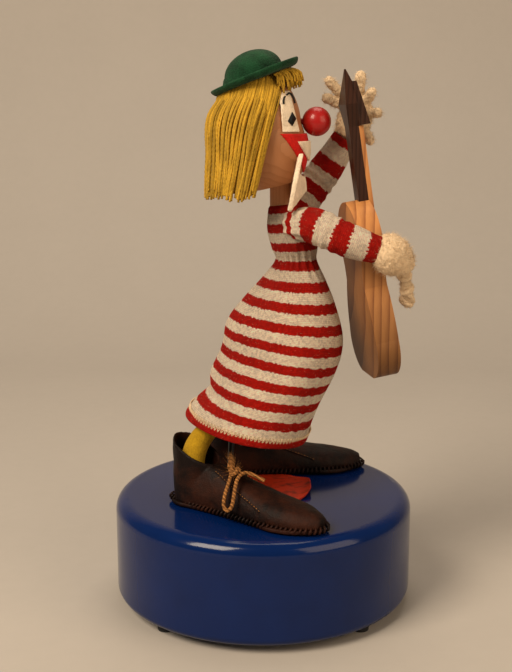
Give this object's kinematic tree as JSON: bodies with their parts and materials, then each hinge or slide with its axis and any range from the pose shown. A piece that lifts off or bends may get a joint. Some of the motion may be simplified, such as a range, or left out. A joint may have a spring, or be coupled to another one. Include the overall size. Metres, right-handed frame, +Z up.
{
  "type": "musical clown figure",
  "caption": "Wind-up musical clown: a stuffed figure in a striped knit holds a guitar and sways on a round lacquered base that houses the movement.",
  "frame": {"origin": "centre of the round base on the plane that its feet rest on", "axes": "+Z up, +X the way the figure looks, +Y to the figure's left"},
  "size_m": [0.15, 0.15, 0.2729],
  "materials": {
    "blue_lacquer": "deep blue gloss lacquer on turned wood",
    "hardboard": "brown hardboard",
    "steel": "bright steel",
    "dark_steel": "blackened steel",
    "foot_pad": "dark rubber pads",
    "red_paint": "worn red paint on card",
    "brass": "plain brass",
    "zinc": "cast bed",
    "black_plastic": "black",
    "yellow_felt": "yellow felt",
    "brown_leather": "dark brown leather, whip-stitched",
    "jute": "jute twine",
    "pale_wood": "pale turned wood",
    "stuffing": "soft filling",
    "striped_knit": "fine red and white striped knit",
    "red_bead": "glossy red bead",
    "white_felt": "white felt",
    "red_felt": "red felt",
    "yellow_yarn": "straight yellow yarn",
    "green_felt": "moulded green felt",
    "white_wool": "fluffy white wool",
    "pine": "pale pine with grain",
    "dark_wood": "dark stained wood"
  },
  "bodies": {
    "base": {"base_shell": "blue_lacquer", "base_plate": "hardboard", "plate_screws": "steel", "base_feet": "foot_pad", "cover_disc": "red_paint", "top_bush": "brass", "bedplate": "zinc", "bedplate_screws": "steel", "governor_housing": "black_plastic", "comb": "steel", "comb_screws": "steel", "boot_screws": "steel", "near_leg": "yellow_felt", "far_leg": "yellow_felt", "near_boot_sole": "brown_leather", "far_boot_sole": "brown_leather", "near_boot_upper": "brown_leather", "far_boot_upper": "brown_leather", "near_lace": "jute", "far_lace": "jute"},
    "key": {"winding_key": "brass", "winding_arbor": "steel", "ratchet_wheel": "steel"},
    "pawl": {"click": "steel"},
    "barrel": {"spring_barrel": "brass", "mainspring": "steel", "crown_wheel": "brass", "drive_shaft": "steel", "crank_web": "dark_steel", "sway_rod": "dark_steel", "thrust_collar": "brass", "rod_cap": "brass"},
    "cylinder": {"cylinder_pinion": "brass", "tune_cylinder": "brass", "cylinder_wheel": "brass"},
    "governor": {"governor_pinion": "steel"},
    "figure": {"sway_sleeve": "brass", "hip_board": "pale_wood", "body_stuffing": "stuffing", "sweater": "striped_knit", "neck": "pale_wood", "head": "pale_wood", "nose": "red_bead", "eye_patches": "white_felt", "mouth_red": "red_felt", "mouth_white": "white_felt", "hair": "yellow_yarn", "fringe": "yellow_yarn", "hat": "green_felt", "bow_tie": "white_felt", "near_sleeve": "striped_knit", "far_sleeve": "striped_knit", "near_hand": "white_wool", "far_hand": "white_wool", "guitar_body": "pine", "guitar_neck": "dark_wood", "fingerboard": "pine", "head_plate": "dark_wood", "bridge": "black_plastic"}
  },
  "joints": [
    {"name": "key_turn", "type": "hinge", "parent": "base", "child": "key", "pos_m": [-0.015, 0, 0.012], "axis": [0, 0, 1], "continuous": true},
    {"name": "click_rock", "type": "hinge", "parent": "base", "child": "pawl", "pos_m": [-0.0079, -0.009, 0.0215], "axis": [0, 0, 1], "range_deg": [-8, 0]},
    {"name": "barrel_turn", "type": "hinge", "parent": "base", "child": "barrel", "pos_m": [-0.015, 0, 0.03], "axis": [0, 0, 1], "continuous": true},
    {"name": "cylinder_turn", "type": "hinge", "parent": "base", "child": "cylinder", "pos_m": [0.01, 0, 0.03946], "axis": [1, 0, 0], "continuous": true},
    {"name": "governor_turn", "type": "hinge", "parent": "base", "child": "governor", "pos_m": [0.03, -0.00701, 0.03541], "axis": [1, 0, 0], "continuous": true},
    {"name": "figure_sway", "type": "hinge", "parent": "barrel", "child": "figure", "pos_m": [-0.015, 0, 0.102], "axis": [0.0523, 0, 0.9986], "continuous": true}
  ],
  "couplings": [
    {"joint": "cylinder_turn", "follows": "barrel_turn", "ratio": 2.4},
    {"joint": "governor_turn", "follows": "barrel_turn", "ratio": -7.2},
    {"joint": "figure_sway", "follows": "barrel_turn", "ratio": -1}
  ]
}
